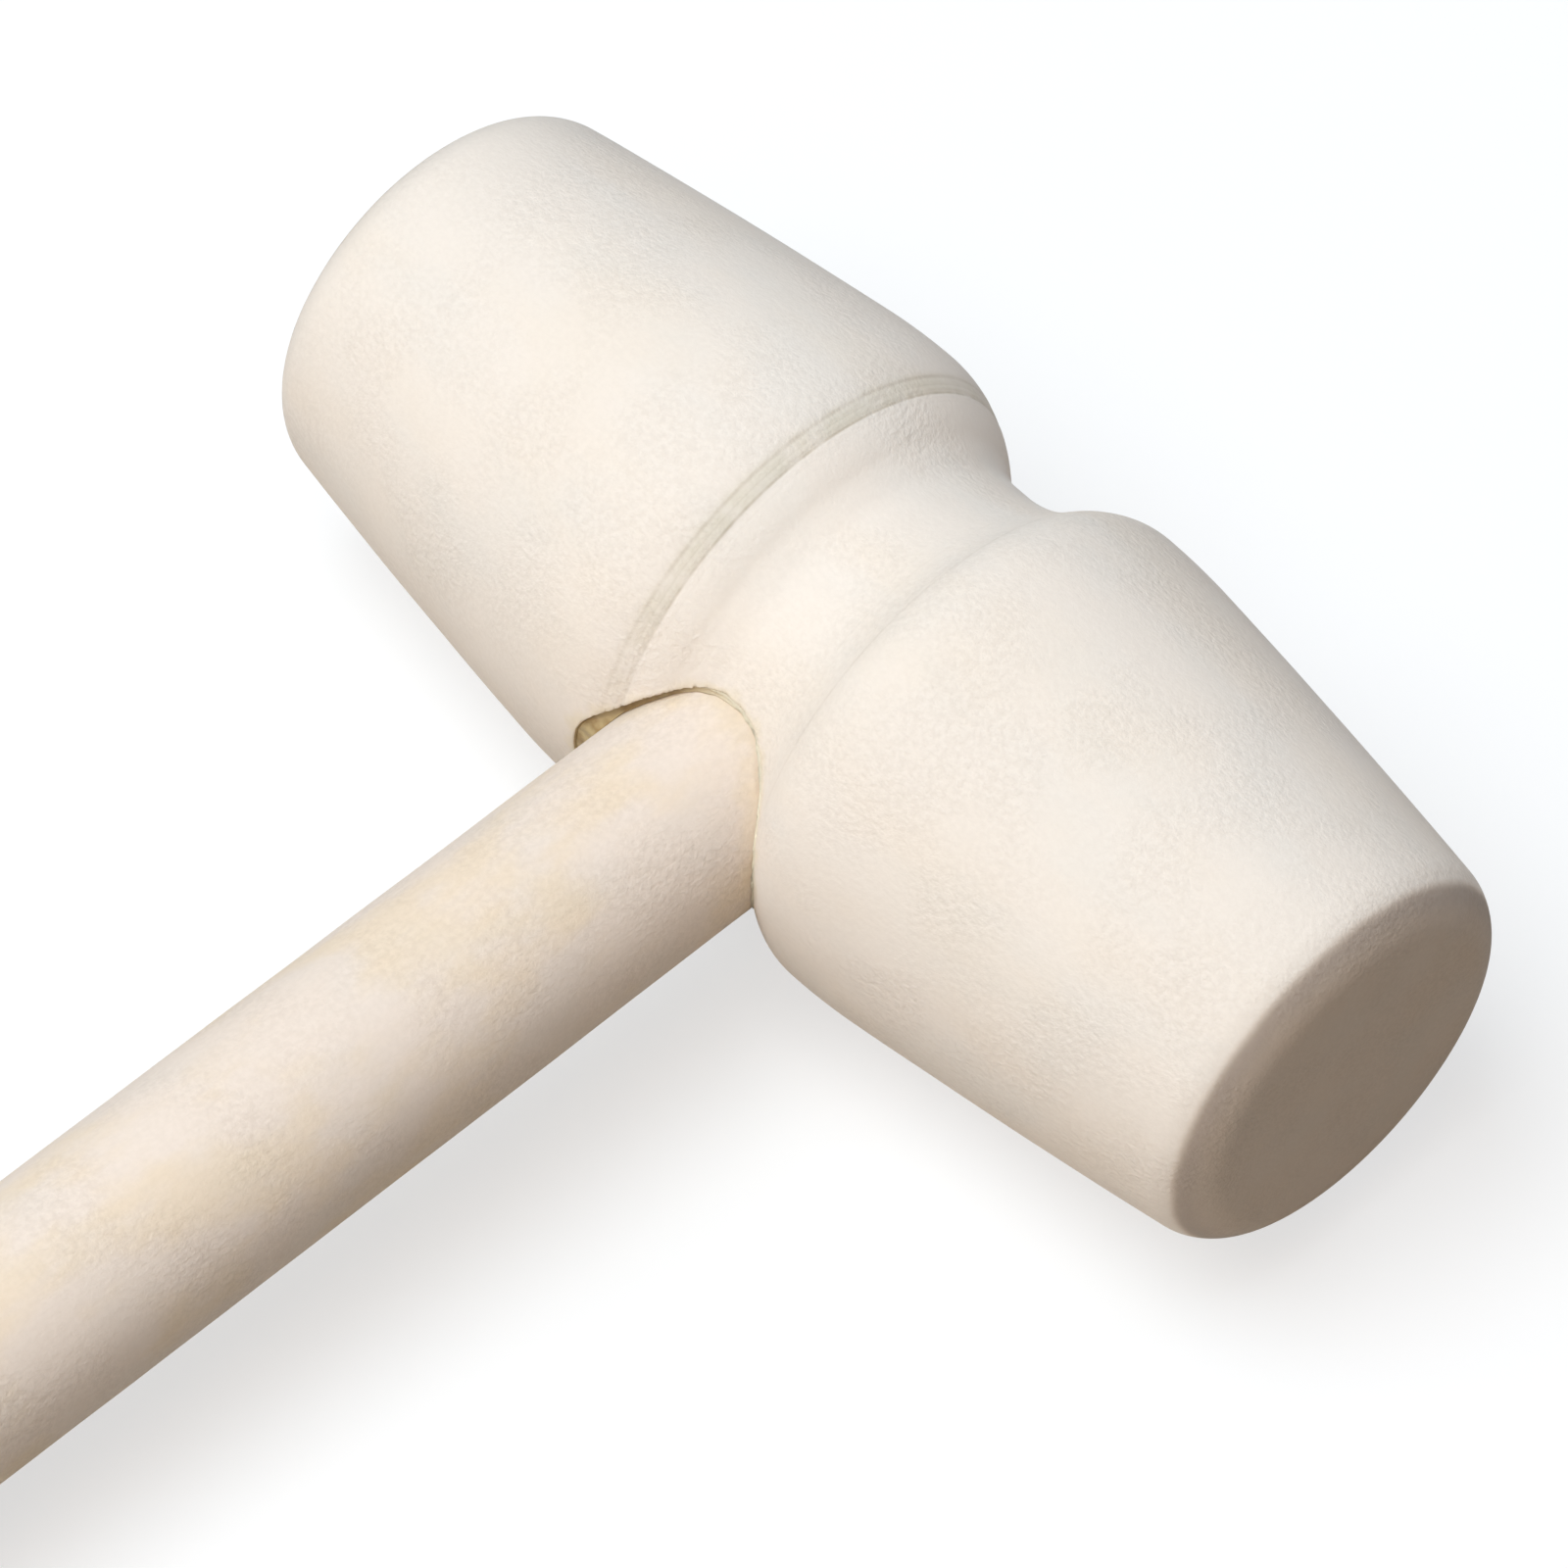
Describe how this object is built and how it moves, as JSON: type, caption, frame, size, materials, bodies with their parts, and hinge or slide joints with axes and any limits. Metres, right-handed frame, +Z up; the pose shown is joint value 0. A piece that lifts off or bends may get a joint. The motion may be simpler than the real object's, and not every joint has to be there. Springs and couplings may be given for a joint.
{
  "type": "wooden mallet",
  "caption": "Small turned wooden mallet: waisted head with rounded rims, glued onto a plain round dowel handle.",
  "frame": {"origin": "on the surface that the mallet lies on, under the middle of its bounding box", "axes": "+X from the head towards the butt of the handle, +Y along the head towards its right face, +Z up from the surface it lies on"},
  "size_m": [0.145, 0.06, 0.0255],
  "materials": {
    "head_wood": "bare wood, finely sanded, matt",
    "handle_wood": "bare dowel, slightly yellower than the head, matt",
    "dried_glue": "cured wood glue, yellow to brown"
  },
  "bodies": {
    "root": {"turned_head": "head_wood", "dowel_handle": "handle_wood", "glue_joint": "dried_glue"}
  },
  "joints": []
}
